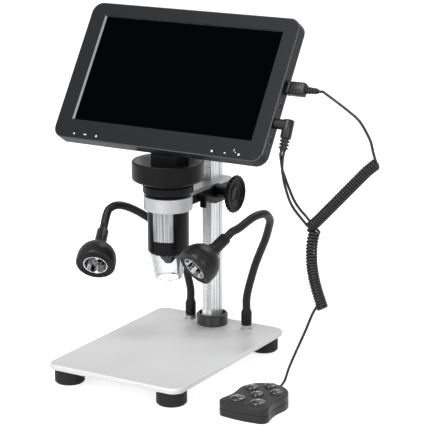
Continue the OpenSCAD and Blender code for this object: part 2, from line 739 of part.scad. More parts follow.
// remote control
module remote_outline(inset) {
    translate([0, -41.1]) circle(r = 18.6 - inset);
    for (x = [-1, 1]) translate([x * 13.4, -67.4]) circle(r = 6 - inset);
    polygon([[-18.4 + inset, -43.5], [18.4 - inset, -43.5], [17.6 - inset, -49], [17.3 - inset, -54],
        [17.9 - inset, -60], [19.3 - inset, -67], [13, -73.3 + inset], [5, -74.3 + inset],
        [-5, -74.3 + inset], [-13, -73.3 + inset], [-19.3 + inset, -67], [-17.9 + inset, -60],
        [-17.3 + inset, -54], [-17.6 + inset, -49]]);
}

module key_at(i) {
    spots = [[-9.9, -39], [0, -29.3], [9.9, -39], [0, -49], [-8.2, -62.8], [8.2, -62.8]];
    translate([remote_x + spots[i][0], spots[i][1], 0])
        children();
}

function key_r(i) = (i > 3 ? front_key_d : key_d) / 2;

module remote_base() color([0.1, 0.1, 0.1]) {
    difference() {
        union() {
            translate([remote_x, 0, table_z]) linear_extrude(1.6) remote_outline(0);
            translate([remote_x, 0, table_z + 1.5]) linear_extrude(remote_h / 2 - 1.5) difference() {
                remote_outline(0);
                remote_outline(1.2);
            }
        }
        translate([remote_x, -28, -9.5]) rotate([-90, 0, 0]) cylinder(r = 1.3, h = 10);
    }
}

module remote_top() color([0.12, 0.12, 0.12]) {
    difference() {
        union() {
            translate([remote_x, 0, remote_split]) linear_extrude(remote_h / 2 - 0.8) remote_outline(0);
            translate([remote_x, 0, remote_top_z - 0.9]) linear_extrude(0.9) remote_outline(1);
        }
        translate([remote_x, 0, remote_split - 1]) linear_extrude(remote_h / 2 - 0.6) remote_outline(1.2);
        for (i = [0 : 5]) key_at(i) translate([0, 0, remote_split]) cylinder(r = key_r(i) + 0.15, h = 9);
        translate([remote_x, -28, -9.5]) rotate([-90, 0, 0]) cylinder(r = 1.3, h = 10);
    }
}

module remote_board() color([0.1, 0.35, 0.2]) {
    translate([remote_x, 0, remote_split - 1.4]) linear_extrude(1.2) intersection() {
        remote_outline(2.2);
        translate([-20, -71.5]) square([40, 46.3]);
    }
    for (i = [0 : 5]) key_at(i) translate([-1.6, -1.6, remote_split - 0.3]) cube([3.2, 3.2, 1.1]);
}

module key_shape(i) {
    low = remote_split + 1.7;
    key_at(i) intersection() {
        translate([0, 0, low]) cylinder(r = key_r(i), h = remote_top_z + 2.2 - low);
        translate([0, 0, remote_top_z + 2.2 - 2.4 * key_r(i)]) sphere(r = 2.4 * key_r(i));
    }
    key_at(i) translate([0, 0, low]) cylinder(r = key_r(i) + 0.4, h = remote_h / 2 - 3.45);
}

module key_left() color([0.3, 0.3, 0.31]) {
    key_shape(0);
}

module key_back() color([0.3, 0.3, 0.31]) {
    key_shape(1);
}

module key_right() color([0.3, 0.3, 0.31]) {
    key_shape(2);
}

module key_centre() color([0.3, 0.3, 0.31]) {
    key_shape(3);
}

module key_front_left() color([0.3, 0.3, 0.31]) {
    key_shape(4);
}

module key_front_right() color([0.3, 0.3, 0.31]) {
    key_shape(5);
}

base_plate();
feet();
foot_screws();
column();
column_collar();
column_bolt();
lamp_studs();
arm();
pinion_cover();
pinion();
focus_knob();
clamp_screw();
scope_shell();
shell_panel();
led_ring();
shroud();
sensor_board();
lens_carrier();
lens();
focus_wheel();
neck();
bezel();
lcd_panel();
rear_cover();
rear_screws();
main_board();
side_sockets();
hinge_yoke();
hinge_pin();
usb_plug();
dc_plug();
usb_wire();
coil_upper();
coil_lower();
dc_lead_a();
dc_lead_b();
remote_wire();
lamp_base_left();
gooseneck_left();
lamp_sleeve_left();
lamp_shell_left();
reflector_left();
lamp_led_left();
lamp_base_right();
gooseneck_right();
lamp_sleeve_right();
lamp_shell_right();
reflector_right();
lamp_led_right();
remote_base();
remote_top();
remote_board();
key_left();
key_back();
key_right();
key_centre();
key_front_left();
key_front_right();
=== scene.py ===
import math

import bmesh
import bpy
from mathutils import Matrix, Vector


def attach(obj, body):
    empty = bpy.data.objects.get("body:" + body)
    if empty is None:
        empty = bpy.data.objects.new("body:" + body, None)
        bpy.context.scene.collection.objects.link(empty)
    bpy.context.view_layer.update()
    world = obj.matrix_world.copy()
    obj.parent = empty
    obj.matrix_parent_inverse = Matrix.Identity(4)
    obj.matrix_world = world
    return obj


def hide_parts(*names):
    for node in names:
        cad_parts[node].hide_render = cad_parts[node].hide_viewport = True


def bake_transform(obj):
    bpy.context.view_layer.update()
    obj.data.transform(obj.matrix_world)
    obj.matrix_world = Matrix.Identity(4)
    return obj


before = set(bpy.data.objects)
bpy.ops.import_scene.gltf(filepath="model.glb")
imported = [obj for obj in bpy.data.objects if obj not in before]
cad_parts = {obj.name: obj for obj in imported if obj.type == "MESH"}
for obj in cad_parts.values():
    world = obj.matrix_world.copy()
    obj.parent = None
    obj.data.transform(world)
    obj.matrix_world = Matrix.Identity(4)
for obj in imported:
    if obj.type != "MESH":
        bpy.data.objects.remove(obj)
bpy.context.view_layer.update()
MM = 0.001


# --- Camera, table and light ---------------------------------------------------------------
# The object stands on a white table in soft studio light from above and from both sides.
# The table lies under the rubber feet, and only its shadows show against the white.

TABLE_Z = -15.5 * MM
CAMERA_AT = Vector((674.18, -1071.09, 434.7)) * MM
LOOK_AT = Vector((40.68, -0.19, 108.3)) * MM
LENS = 146.5
MIRRORED = 0.62
ROOM_GLOW = 0.3
TABLE_GAP = 0.2 * MM
TABLE_GAIN = 0.7

camera = bpy.data.objects.new("camera", bpy.data.cameras.new("camera"))
camera.data.sensor_width = 36
camera.data.lens = LENS
camera.data.clip_end = 50
camera.location = CAMERA_AT
camera.rotation_euler = (LOOK_AT - CAMERA_AT).to_track_quat("-Z", "Y").to_euler()
bpy.context.scene.collection.objects.link(camera)
bpy.context.scene.camera = camera
bpy.context.scene.view_settings.view_transform = "Standard"


def math_node(tree, kind, a, b):
    """One sum in a node tree. Each side is a number or another node's output."""
    node = tree.nodes.new("ShaderNodeMath")
    node.operation = kind
    for value, socket in ((a, node.inputs[0]), (b, node.inputs[1])):
        if isinstance(value, (int, float)):
            socket.default_value = value
        else:
            tree.links.new(value, socket)
    return node.outputs[0]


def seen_by_eye(tree):
    """1 for rays that the camera sends, also through glass, MIRRORED for reflections, else 0."""
    path = tree.nodes.new("ShaderNodeLightPath")
    direct = math_node(tree, "MAXIMUM", path.outputs["Is Camera Ray"],
                       path.outputs["Is Transmission Ray"])
    mirrored = math_node(tree, "MULTIPLY", path.outputs["Is Glossy Ray"], MIRRORED)
    return math_node(tree, "MAXIMUM", direct, mirrored)


def room():
    """A faint even glow on the object in a room that looks white."""
    world = bpy.data.worlds.new("studio")
    world.use_nodes = True
    bpy.context.scene.world = world
    tree = world.node_tree
    tree.nodes.clear()
    glow = tree.nodes.new("ShaderNodeBackground")
    glow.inputs["Color"].default_value = (1, 1, 1, 1)
    white = tree.nodes.new("ShaderNodeBackground")
    white.inputs["Color"].default_value = (1, 1, 1, 1)
    glow.inputs["Strength"].default_value = ROOM_GLOW
    mix = tree.nodes.new("ShaderNodeMixShader")
    out = tree.nodes.new("ShaderNodeOutputWorld")
    tree.links.new(seen_by_eye(tree), mix.inputs[0])
    tree.links.new(glow.outputs[0], mix.inputs[1])
    tree.links.new(white.outputs[0], mix.inputs[2])
    tree.links.new(mix.outputs[0], out.inputs["Surface"])


def table():
    """A round white table top, just under the feet and the remote control."""
    bm = bmesh.new()
    bmesh.ops.create_circle(bm, cap_ends=True, segments=64, radius=6)
    bm.transform(Matrix.Translation((0, 0, TABLE_Z - TABLE_GAP)))
    mesh = bpy.data.meshes.new("table")
    bm.to_mesh(mesh)
    bm.free()
    surface = bpy.data.objects.new("table", mesh)
    bpy.context.scene.collection.objects.link(surface)
    white = bpy.data.materials.new("table_white")
    white.use_nodes = True
    tree = white.node_tree
    tree.nodes.clear()
    matt = tree.nodes.new("ShaderNodeBsdfDiffuse")
    matt.inputs["Color"].default_value = (0.8, 0.8, 0.8, 1)
    lift = tree.nodes.new("ShaderNodeEmission")
    lift.inputs["Color"].default_value = (1, 1, 1, 1)
    add = tree.nodes.new("ShaderNodeAddShader")
    out = tree.nodes.new("ShaderNodeOutputMaterial")
    tree.links.new(math_node(tree, "MULTIPLY", seen_by_eye(tree), TABLE_GAIN), lift.inputs["Strength"])
    tree.links.new(matt.outputs[0], add.inputs[0])
    tree.links.new(lift.outputs[0], add.inputs[1])
    tree.links.new(add.outputs[0], out.inputs["Surface"])
    mesh.materials.append(white)


def studio_light(name, place, aim, size, power):
    """A soft round light in metres and watts."""
    light = bpy.data.lights.new(name, "AREA")
    light.shape = "DISK"
    light.size = size
    light.energy = power
    holder = bpy.data.objects.new(name, light)
    holder.location = place
    holder.rotation_euler = (Vector(aim) - Vector(place)).to_track_quat("-Z", "Y").to_euler()
    bpy.context.scene.collection.objects.link(holder)


room()
table()
studio_light("key_light", (0.05, -1.3, 2.1), (0, 0, 0.1), 1.1, 22)
studio_light("fill_light", (1.6, -0.9, 1.0), (0, 0, 0.1), 0.9, 9)
studio_light("back_light", (0.3, 1.3, 1.9), (0, 0, 0.1), 1.2, 12)
studio_light("front_light", (-0.2, -1.9, 0.5), (0, 0, 0.1), 1.0, 8)
studio_light("glare_light", (-0.42, -1.1, 1.85), (0.05, 0, 0.2), 0.4, 8)


# --- Base plate ----------------------------------------------------------------------------
# One sheet of aluminium with bevelled edges and straight brush marks from front to back.
# It is clear anodised, and the column and both lamps are bolted to it.

def surface_group(name, inputs):
    """A surface effect with these inputs. It puts out a colour, a roughness and a height."""
    group = bpy.data.node_groups.new(name, "ShaderNodeTree")
    for label, kind, value in inputs:
        group.interface.new_socket(label, in_out="INPUT", socket_type=kind).default_value = value
    for label, kind in (("Colour", "Color"), ("Roughness", "Float"), ("Height", "Float")):
        group.interface.new_socket(label, in_out="OUTPUT", socket_type="NodeSocket" + kind)
    return group, group.nodes.new("NodeGroupInput"), group.nodes.new("NodeGroupOutput")


def noise(tree, vector, scale, detail=3.0, rough=0.5):
    """Soft noise. Its scale is a number or another node's output."""
    node = tree.nodes.new("ShaderNodeTexNoise")
    node.inputs["Detail"].default_value = detail
    node.inputs["Roughness"].default_value = rough
    tree.links.new(vector, node.inputs["Vector"])
    if isinstance(scale, (int, float)):
        node.inputs["Scale"].default_value = scale
    else:
        tree.links.new(scale, node.inputs["Scale"])
    return node.outputs["Fac"]


def tinted(tree, colour, shade):
    """A colour made lighter above a shade of 1 and darker below it."""
    node = tree.nodes.new("ShaderNodeVectorMath")
    node.operation = "SCALE"
    tree.links.new(colour, node.inputs[0])
    tree.links.new(shade, node.inputs["Scale"])
    return node.outputs[0]


def brushed_group():
    """Straight fine marks: the stretch vector is small along them and large across them."""
    tree, inward, outward = surface_group(
        "brush_marks",
        [("Colour", "NodeSocketColor", (1, 1, 1, 1)), ("Stretch", "NodeSocketVector", (1, 1, 1)),
         ("Contrast", "NodeSocketFloat", 0.1), ("Roughness", "NodeSocketFloat", 0.35)])
    place = tree.nodes.new("ShaderNodeTexCoord").outputs["Object"]
    along = tree.nodes.new("ShaderNodeVectorMath")
    along.operation = "MULTIPLY"
    tree.links.new(place, along.inputs[0])
    tree.links.new(inward.outputs["Stretch"], along.inputs[1])
    marks = noise(tree, along.outputs[0], 1.0, detail=4.0, rough=0.7)
    cloud = noise(tree, place, 28.0, detail=2.0)
    off_mark = math_node(tree, "SUBTRACT", marks, 0.5)
    off_cloud = math_node(tree, "SUBTRACT", cloud, 0.5)
    shade = math_node(tree, "ADD", math_node(tree, "MULTIPLY", off_mark, inward.outputs["Contrast"]),
                      math_node(tree, "MULTIPLY", off_cloud, 0.05))
    tree.links.new(tinted(tree, inward.outputs["Colour"], math_node(tree, "ADD", shade, 1.0)),
                   outward.inputs["Colour"])
    gloss = math_node(tree, "ADD", inward.outputs["Roughness"], math_node(tree, "MULTIPLY", shade, 0.5))
    tree.links.new(gloss, outward.inputs["Roughness"])
    tree.links.new(marks, outward.inputs["Height"])
    return tree


BRUSHED = brushed_group()


def finish(name, group, settings, bump, metallic=0.0, coat=0.0, specular=0.5):
    """One material: the surface group's varying colour, gloss and height feed a plain shader."""
    material = bpy.data.materials.new(name)
    material.use_nodes = True
    tree = material.node_tree
    shader = tree.nodes["Principled BSDF"]
    shader.inputs["Metallic"].default_value = metallic
    shader.inputs["Coat Weight"].default_value = coat
    shader.inputs["Specular IOR Level"].default_value = specular
    effect = tree.nodes.new("ShaderNodeGroup")
    effect.node_tree = group
    for label, value in settings.items():
        effect.inputs[label].default_value = value
    height = tree.nodes.new("ShaderNodeBump")
    height.inputs["Strength"].default_value = bump
    height.inputs["Distance"].default_value = 0.2 * MM
    tree.links.new(effect.outputs["Colour"], shader.inputs["Base Color"])
    tree.links.new(effect.outputs["Roughness"], shader.inputs["Roughness"])
    tree.links.new(effect.outputs["Height"], height.inputs["Height"])
    tree.links.new(height.outputs["Normal"], shader.inputs["Normal"])
    return material


def brushed(name, colour, stretch, contrast, roughness, metallic=1.0, bump=0.1):
    """A brushed metal, or a finely grained one where the stretch is the same along each axis."""
    return finish(name, BRUSHED, {"Colour": (*colour, 1), "Stretch": stretch, "Contrast": contrast,
                                  "Roughness": roughness}, bump, metallic)


def dress(material, *nodes):
    """Give whole CAD nodes one material."""
    for node in nodes:
        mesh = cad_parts[node].data
        mesh.materials.clear()
        mesh.materials.append(material)


plate_metal = brushed("brushed_plate", (0.755, 0.755, 0.76), (2600, 30, 800), 0.14, 0.45, metallic=0.3)
dress(plate_metal, "base_plate")


# --- Feet and their screws -----------------------------------------------------------------
# Four black rubber pads under the corners of the plate.
# Each is held up against it by a plated countersunk screw.

def moulded_group():
    """Fine spark-eroded grain with faint uneven gloss, as on moulded or cast parts."""
    tree, inward, outward = surface_group(
        "moulded_grain",
        [("Colour", "NodeSocketColor", (1, 1, 1, 1)), ("Grain", "NodeSocketFloat", 1500.0),
         ("Roughness", "NodeSocketFloat", 0.5), ("Uneven", "NodeSocketFloat", 0.08)])
    place = tree.nodes.new("ShaderNodeTexCoord").outputs["Object"]
    grain = noise(tree, place, inward.outputs["Grain"], detail=2.0)
    patch = noise(tree, place, 45.0, rough=0.6)
    wander = math_node(tree, "MULTIPLY", math_node(tree, "SUBTRACT", patch, 0.5),
                       inward.outputs["Uneven"])
    fine = math_node(tree, "MULTIPLY", math_node(tree, "SUBTRACT", grain, 0.5), 0.25)
    mottle = math_node(tree, "ADD", math_node(tree, "MULTIPLY", wander, 1.5), fine)
    tree.links.new(tinted(tree, inward.outputs["Colour"], math_node(tree, "ADD", mottle, 1.0)),
                   outward.inputs["Colour"])
    gloss = math_node(tree, "ADD", inward.outputs["Roughness"], wander)
    tree.links.new(gloss, outward.inputs["Roughness"])
    tree.links.new(grain, outward.inputs["Height"])
    return tree


MOULDED = moulded_group()


def moulded(name, colour, roughness, grain=1500.0, bump=0.15, uneven=0.08, metallic=0.0, coat=0.0,
            specular=0.5):
    """A moulded, cast or coated finish."""
    return finish(name, MOULDED, {"Colour": (*colour, 1), "Grain": grain, "Roughness": roughness,
                                  "Uneven": uneven}, bump, metallic, coat, specular)


foot_rubber = moulded("foot_rubber", (0.010, 0.010, 0.010), 0.62, 1400, 0.2, specular=0.3)
screw_steel = brushed("screw_steel", (0.55, 0.55, 0.56), (900, 900, 900), 0.15, 0.3)
dress(foot_rubber, "feet")
dress(screw_steel, "foot_screws", "column_bolt", "lamp_studs")


# --- Column and collar ---------------------------------------------------------------------
# A drawn aluminium bar with the rack cut into its front face, bolted up through the plate.
# A black moulded cup stands round its foot.

def repaint(owner, material, chosen):
    """Give the faces that chosen accepts a second material."""
    owner.data.materials.append(material)
    for face in owner.data.polygons:
        if chosen(face):
            face.material_index = 1


column_metal = brushed("column_metal", (0.86, 0.87, 0.88), (1300, 1300, 12), 3.2, 0.3,
                       metallic=0.5, bump=0.3)
black_moulding = moulded("black_moulding", (0.006, 0.006, 0.007), 0.36, 1600, 0.12, specular=0.22)
collar_black = moulded("collar_black", (0.012, 0.012, 0.014), 0.26, 1600, 0.12, specular=0.7)
# A darker copy of the column metal, the painted shade on the rack's teeth.
rack_painted_shade = brushed("rack_painted_shade", (0.74, 0.74, 0.75), (1300, 1300, 12), 1.2, 0.35,
                     metallic=0.6, bump=0.3)
dress(column_metal, "column")
dress(collar_black, "column_collar")

# Painted shade: above this height the sloping flanks of the rack's teeth are painted less bright than
# the bar.
RACK_LOW = 66
repaint(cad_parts["column"], rack_painted_shade,
        lambda face: 0.2 < abs(face.normal.z) < 0.98 and face.center.z > RACK_LOW * MM)


# --- Arm, pinion and knob ------------------------------------------------------------------
# The arm is a silver casting with the clamp ring at its front and the slide for the column.
# A black knob turns the pinion that climbs the rack. A wing screw pinches the ring.

def darkened(material, shade):
    """Multiply a finished material's colour by shade, a value between 0 and 1, to paint shade into it.
    """
    tree = material.node_tree
    plain = tree.nodes["Group"].outputs["Colour"]
    tree.links.new(tinted(tree, plain, shade), tree.nodes["Principled BSDF"].inputs["Base Color"])


def at(x, y, z):
    """A shift in millimetres."""
    return Matrix.Translation(Vector((x, y, z)) * MM)


def turn(angle, axis):
    """A turn in degrees about an axis through the origin."""
    return Matrix.Rotation(math.radians(angle), 4, axis)


def turned(profile, place=Matrix(), steps=64):
    """A profile of (radius, height) points in millimetres, spun about Z and then put in place."""
    bm = bmesh.new()
    points = [bm.verts.new((r * MM, 0, z * MM)) for r, z in profile]
    edges = [bm.edges.new(pair) for pair in zip(points, points[1:])]
    bmesh.ops.spin(bm, geom=points + edges, cent=(0, 0, 0), axis=(0, 0, 1), dvec=(0, 0, 0),
                   angle=2 * math.pi, steps=steps, use_merge=True, use_duplicate=False)
    bmesh.ops.remove_doubles(bm, verts=bm.verts, dist=1e-7)
    bmesh.ops.dissolve_degenerate(bm, edges=bm.edges, dist=1e-8)
    bmesh.ops.recalc_face_normals(bm, faces=bm.faces)
    bm.transform(place)
    return bm


def piece(name, bm, material, stands_for=(), body=None, sharp=35):
    """One finished piece: smooth faces with sharp edges kept, its material, body and CAD nodes."""
    mesh = bpy.data.meshes.new(name)
    bm.to_mesh(mesh)
    bm.free()
    mesh.shade_smooth()
    mesh.set_sharp_from_angle(angle=math.radians(sharp))
    mesh.materials.append(material)
    made = bpy.data.objects.new(name, mesh)
    bpy.context.scene.collection.objects.link(made)
    if stands_for:
        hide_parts(*stands_for)
    if body:
        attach(made, body)
    return made


cast_silver = moulded("cast_silver", (0.50, 0.51, 0.52), 0.34, 900, 0.8, metallic=0.6)
cut_brass = brushed("cut_brass", (0.72, 0.55, 0.28), (1200, 300, 300), 0.12, 0.32)
# A silver like the casting's, painted dark below its upper edge: partly pinion cover, partly painted
# shade.
arm_cover_and_painted_shade = moulded("arm_cover_and_painted_shade", (0.50, 0.50, 0.51), 0.4, 1300, 0.1, metallic=0.5)
dress(cast_silver, "arm")
dress(black_moulding, "pinion_cover", "clamp_screw")
dress(cut_brass, "pinion")

# The arm's right flank and its underside are darkened below a bright upper edge: partly a larger black
# pinion cover, partly painted shade.
FLANK_X, FLANK_BACK, UNDER_BACK, FLANK_TOP = 9.5, 15, 22, 115.2
FLANK_SHARE = 0.03
flank_tree = arm_cover_and_painted_shade.node_tree
flank_spot = flank_tree.nodes.new("ShaderNodeSeparateXYZ")
flank_tree.links.new(flank_tree.nodes.new("ShaderNodeTexCoord").outputs["Object"], flank_spot.inputs[0])
upper_edge = math_node(flank_tree, "GREATER_THAN", flank_spot.outputs["Z"], FLANK_TOP * MM)
edge_gain = math_node(flank_tree, "MULTIPLY", upper_edge, 1 - FLANK_SHARE)
darkened(arm_cover_and_painted_shade, math_node(flank_tree, "ADD", edge_gain, FLANK_SHARE))


def on_flank(face):
    """The faces of the arm's right flank and of its underside, behind the clamp ring, which take the
    painted shade.
    """
    x, y = face.center.x / MM, face.center.y / MM
    beside = face.normal.x > 0.95 and x > FLANK_X and y > FLANK_BACK
    return beside or (face.normal.z < -0.3 and y > UNDER_BACK)


repaint(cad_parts["arm"], arm_cover_and_painted_shade, on_flank)

# The knob: a hub, a ribbed rim and a dished face with a raised ring.
KNOB = at(11.5, 51.5, 111.5) @ turn(90, "Y")
KNOB_RIBS, RIB_HEIGHT, RIB_INSET, RIM_LOW = 24, 0.4, 0.1, 13
knob = turned([(4.8, 0), (4.8, 12.2), (5.6, 13.4), (8, 14.2), (13.1, 14.5), (14.3, 15.6), (14.3, 17.2),
               (13.4, 18.1), (12.1, 18.1), (11.3, 17.5), (10.7, 16.7), (6.8, 16.5), (6.2, 17), (4.6, 17),
               (4, 16.5), (0, 16.5)], steps=144)
for vert in knob.verts:
    reach = math.hypot(vert.co.x, vert.co.y)
    if reach > RIM_LOW * MM:
        wave = math.cos(KNOB_RIBS * math.atan2(vert.co.y, vert.co.x))
        swell = RIB_HEIGHT * MM * wave * min(1, (reach / MM - RIM_LOW) / 1.2)
        vert.co.x *= 1 + (swell - RIB_INSET * MM) / reach
        vert.co.y *= 1 + (swell - RIB_INSET * MM) / reach
knob.transform(KNOB)
knob_black = moulded("knob_black", (0.003, 0.003, 0.0035), 0.3, 1600, 0.1, specular=0.12)
piece("focus_knob_ribbed", knob, knob_black, ["focus_knob"], "focus_pinion", 50)


# --- Microscope body -----------------------------------------------------------------------
# A black anodised barrel with a brushed silver panel let into its front, a clear shroud round
# the lens nose, and the ring of small lamps, lens carrier and sensor board inside.

anodised_black = moulded("anodised_black", (0.004, 0.004, 0.005), 0.33, 1800, 0.06, specular=0.14)
panel_silver = brushed("panel_silver", (0.36, 0.37, 0.38), (1100, 1100, 20), 4.5, 0.3,
                       metallic=0.75, bump=0.3)
board_green = moulded("board_green", (0.02, 0.12, 0.06), 0.35, 900, 0.2)


def clear_moulding(name, colour, roughness, ior):
    """Clear plastic or glass."""
    material = moulded(name, colour, roughness, 1200, 0.02)
    shader = material.node_tree.nodes["Principled BSDF"]
    shader.inputs["Transmission Weight"].default_value = 1.0
    shader.inputs["IOR"].default_value = ior
    return material


shroud_clear = clear_moulding("shroud_clear", (0.88, 0.90, 0.91), 0.06, 1.38)
lens_glass = clear_moulding("lens_glass", (0.85, 0.92, 1.0), 0.02, 1.5)
dress(anodised_black, "scope_shell", "lens_carrier")
dress(panel_silver, "shell_panel")
dress(board_green, "led_ring", "sensor_board", "main_board", "remote_board")
dress(shroud_clear, "shroud")
dress(lens_glass, "lens")

# Painted shade: the clear shroud's wall is darkened where it turns away from the view, for the dark
# edges of clear plastic.
RIM_BLEND, RIM_LOSS = 0.45, 0.9
shroud_tree = shroud_clear.node_tree
shroud_rim = shroud_tree.nodes.new("ShaderNodeLayerWeight")
shroud_rim.inputs["Blend"].default_value = RIM_BLEND
rim_painted_shade = math_node(shroud_tree, "MULTIPLY", shroud_rim.outputs["Facing"], RIM_LOSS)
darkened(shroud_clear, math_node(shroud_tree, "SUBTRACT", 1.0, rim_painted_shade))


# --- Focus wheel and neck ------------------------------------------------------------------
# The wheel is an open black cup, turned by hand to move the lens carrier. Its inner wall and floor
# are painted pale grey as painted light.
# The neck is a black block that rises out of the cup and carries the display's hinge.

# Pale grey painted light for the cup's inner wall and floor.
cup_painted_light = brushed("cup_painted_light", (0.70, 0.70, 0.71), (500, 500, 500), 0.2, 0.5, metallic=0.0)
dress(anodised_black, "focus_wheel")
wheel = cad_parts["focus_wheel"]
CUP_RADIUS, CUP_FLOOR = 24.6, 133


def inside_cup(face):
    """The faces of the cup's inner wall and floor, which get the painted light."""
    spot = wheel.matrix_world @ face.center
    return math.hypot(spot.x, spot.y) < CUP_RADIUS * MM and spot.z > CUP_FLOOR * MM


repaint(wheel, cup_painted_light, inside_cup)
dress(black_moulding, "neck", "hinge_yoke")
dress(screw_steel, "hinge_pin")


# --- Display -------------------------------------------------------------------------------
# A flat panel between a charcoal bezel and a rear tray, screwed at the corners, with plated
# sockets in its right side.

PANEL_Y, PANEL_Z, PANEL_TILT = 11.5, 206.5, 57.1
FACE = at(0, PANEL_Y, PANEL_Z) @ turn(PANEL_TILT, "X")
bezel_charcoal = moulded("bezel_charcoal", (0.0092, 0.0098, 0.0115), 0.38, 1700, 0.1, specular=0.2)
screen_black = moulded("screen_black", (0.0012, 0.0014, 0.0019), 0.3, 700, 0.0, 0.04, specular=0.0)
socket_metal = brushed("socket_metal", (0.22, 0.22, 0.23), (800, 800, 800), 0.1, 0.35)
mark_white = moulded("mark_white", (0.85, 0.86, 0.88), 0.5, 1500, 0.05)
# Pale grey painted highlight for the left wall of the screen's edging.
edging_painted_highlight = moulded("edging_painted_highlight", (0.30, 0.30, 0.31), 0.35, 1500, 0.05, metallic=0.3)
# Painted highlight on the frame's bevels, and painted shade on three walls of the screen's edging.
edge_painted_highlight_and_shade = moulded("edge_painted_highlight_and_shade", (0.055, 0.057, 0.062), 0.28, 1700, 0.05, specular=0.5)
dress(bezel_charcoal, "bezel", "rear_cover")
dress(screen_black, "lcd_panel")
dress(screw_steel, "rear_screws")
dress(socket_metal, "side_sockets")

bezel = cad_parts["bezel"]


def on_bevel(face):
    """The bevel between the frame's face and its side, which gets a painted highlight."""
    normal = FACE.inverted().to_3x3() @ (bezel.matrix_world.to_3x3() @ face.normal)
    return 0.3 < normal.z < 0.95


repaint(bezel, edge_painted_highlight_and_shade, on_bevel)

# The screen sits behind a thin bevelled edging. Its left wall is the widest and carries a pale painted
# highlight; its other three walls take the darker bevel colour as painted shade.
SCREEN_HALF, LEFT_WALL = 43.15, 3
edging = bmesh.new()
edge_loops = []
for left, right, depth in ((-77.55, 77.55, -0.05), (-76.4, 77.2, -1.5)):
    half_height = SCREEN_HALF + 0.3 * (depth + 0.05)
    edge_loops.append([edging.verts.new(FACE @ (Vector((x, y * half_height, depth)) * MM))
                       for x, y in ((left, -1), (right, -1), (right, 1), (left, 1))])
front, back = edge_loops
for k in range(4):
    edging.faces.new((front[k], front[(k + 1) % 4], back[(k + 1) % 4], back[k]))
bmesh.ops.recalc_face_normals(edging, faces=edging.faces)
repaint(piece("screen_edging", edging, edging_painted_highlight, body="display"), edge_painted_highlight_and_shade,
        lambda face: face.index != LEFT_WALL)


def block(size, centre, edge, place=Matrix()):
    """A box in millimetres with rounded edges."""
    bm = bmesh.new()
    bmesh.ops.create_cube(bm, size=1)
    bm.transform(Matrix.Translation(Vector(centre) * MM) @ Matrix.Diagonal((*[s * MM for s in size], 1)))
    bmesh.ops.bevel(bm, geom=bm.edges[:], offset=edge * MM, offset_type="OFFSET", affect="EDGES",
                    segments=3, profile=0.5, material=-1, clamp_overlap=True)
    bm.transform(place)
    return bm


def merged(*parts):
    """Several closed shapes in one mesh."""
    whole = bmesh.new()
    for part in parts:
        mesh = bpy.data.meshes.new("part")
        part.to_mesh(mesh)
        part.free()
        whole.from_mesh(mesh)
        bpy.data.meshes.remove(mesh)
    return whole


def dot(x, y, size):
    """A round printed mark on the frame's face."""
    return turned([(0, 0.12), (size, 0.12), (size + 0.15, 0.02), (size + 0.15, -0.3)],
                  FACE @ at(x, y, 0), 20)


def dash(x, y, width, height):
    """A straight printed mark on the frame's face."""
    return block((width, height, 0.3), (x, y, 0), 0.1, FACE)


marks = merged(dot(-71.6, -54.5, 0.6), dash(-61.8, -54.3, 2.4, 0.9), dot(-51.7, -54.5, 0.7),
               dot(48.5, -54.5, 0.7), dash(59.3, -54.6, 1.5, 0.8), dash(66.1, -51.7, 0.5, 1.8),
               dot(67.6, -53.2, 0.3), dot(70.7, -54.5, 0.7))
piece("bezel_marks", marks, mark_white, body="display")


# --- Plugs and cords -----------------------------------------------------------------------
# Soft black moulded plugs on a thin cord that is wound into a spring along its middle.
# The display's power lead leaves its plug as two thin wires, which join the spring at its knee.

def curve(points, steps):
    """Points along a smooth line through the given points."""
    points = [Vector(p) * MM for p in points]
    line = []
    for i in range(len(points) - 1):
        a, b, c, d = (points[max(0, min(len(points) - 1, i + k))] for k in (-1, 0, 1, 2))
        for j in range(steps):
            t = j / steps
            line.append(0.5 * (2 * b + (c - a) * t + (2 * a - 5 * b + 4 * c - d) * t * t
                               + (3 * b - a - 3 * c + d) * t ** 3))
    return line + [points[-1]]


def headings(line):
    """The direction of travel and one steady sideways direction at each point of a line."""
    found, side = [], None
    for i in range(len(line)):
        ahead = (line[min(i + 1, len(line) - 1)] - line[max(i - 1, 0)]).normalized()
        side = side or ahead.orthogonal()
        side = (side - ahead * side.dot(ahead)).normalized()
        found.append((ahead, side))
    return found


def swept(line, radii, sides):
    """A closed round tube along a line, with its own radius at each point."""
    bm = bmesh.new()
    rings = []
    for point, (ahead, side), radius in zip(line, headings(line), radii):
        up = ahead.cross(side)
        rings.append([bm.verts.new(point + radius * (math.cos(2 * math.pi * k / sides) * side
                                                     + math.sin(2 * math.pi * k / sides) * up))
                      for k in range(sides)])
    for low, high in zip(rings, rings[1:]):
        for k in range(sides):
            bm.faces.new((low[k], low[(k + 1) % sides], high[(k + 1) % sides], high[k]))
    bm.faces.new(rings[0][::-1])
    bm.faces.new(rings[-1])
    return bm


SIDE = 89.4
PLUG_Y, PLUG_Z = 19.755, 204.256
PLUG = at(SIDE, PLUG_Y, PLUG_Z) @ turn(PANEL_TILT, "X")
DC_Y, DC_Z = 1.971, 181.46
DC_OUT, DC_LEAN, DC_REACH = 10.3, 24.5, 18.7
WIRE_RADIUS = 1.0
cord_black = moulded("cord_black", (0.010, 0.010, 0.011), 0.36, 1500, 0.06, specular=0.4)


def ribbed(ends, ribs, core):
    """A strain relief along Z: a core of (radius, height) points with rings of (height, radius)."""
    profile = [(0, ends[0]), (core, ends[0])]
    for height, radius in ribs:
        profile += [(core, height), (radius, height + 0.15), (radius, height + 1.15),
                    (core, height + 1.3)]
    return profile + [(core, ends[1]), (0, ends[1])]


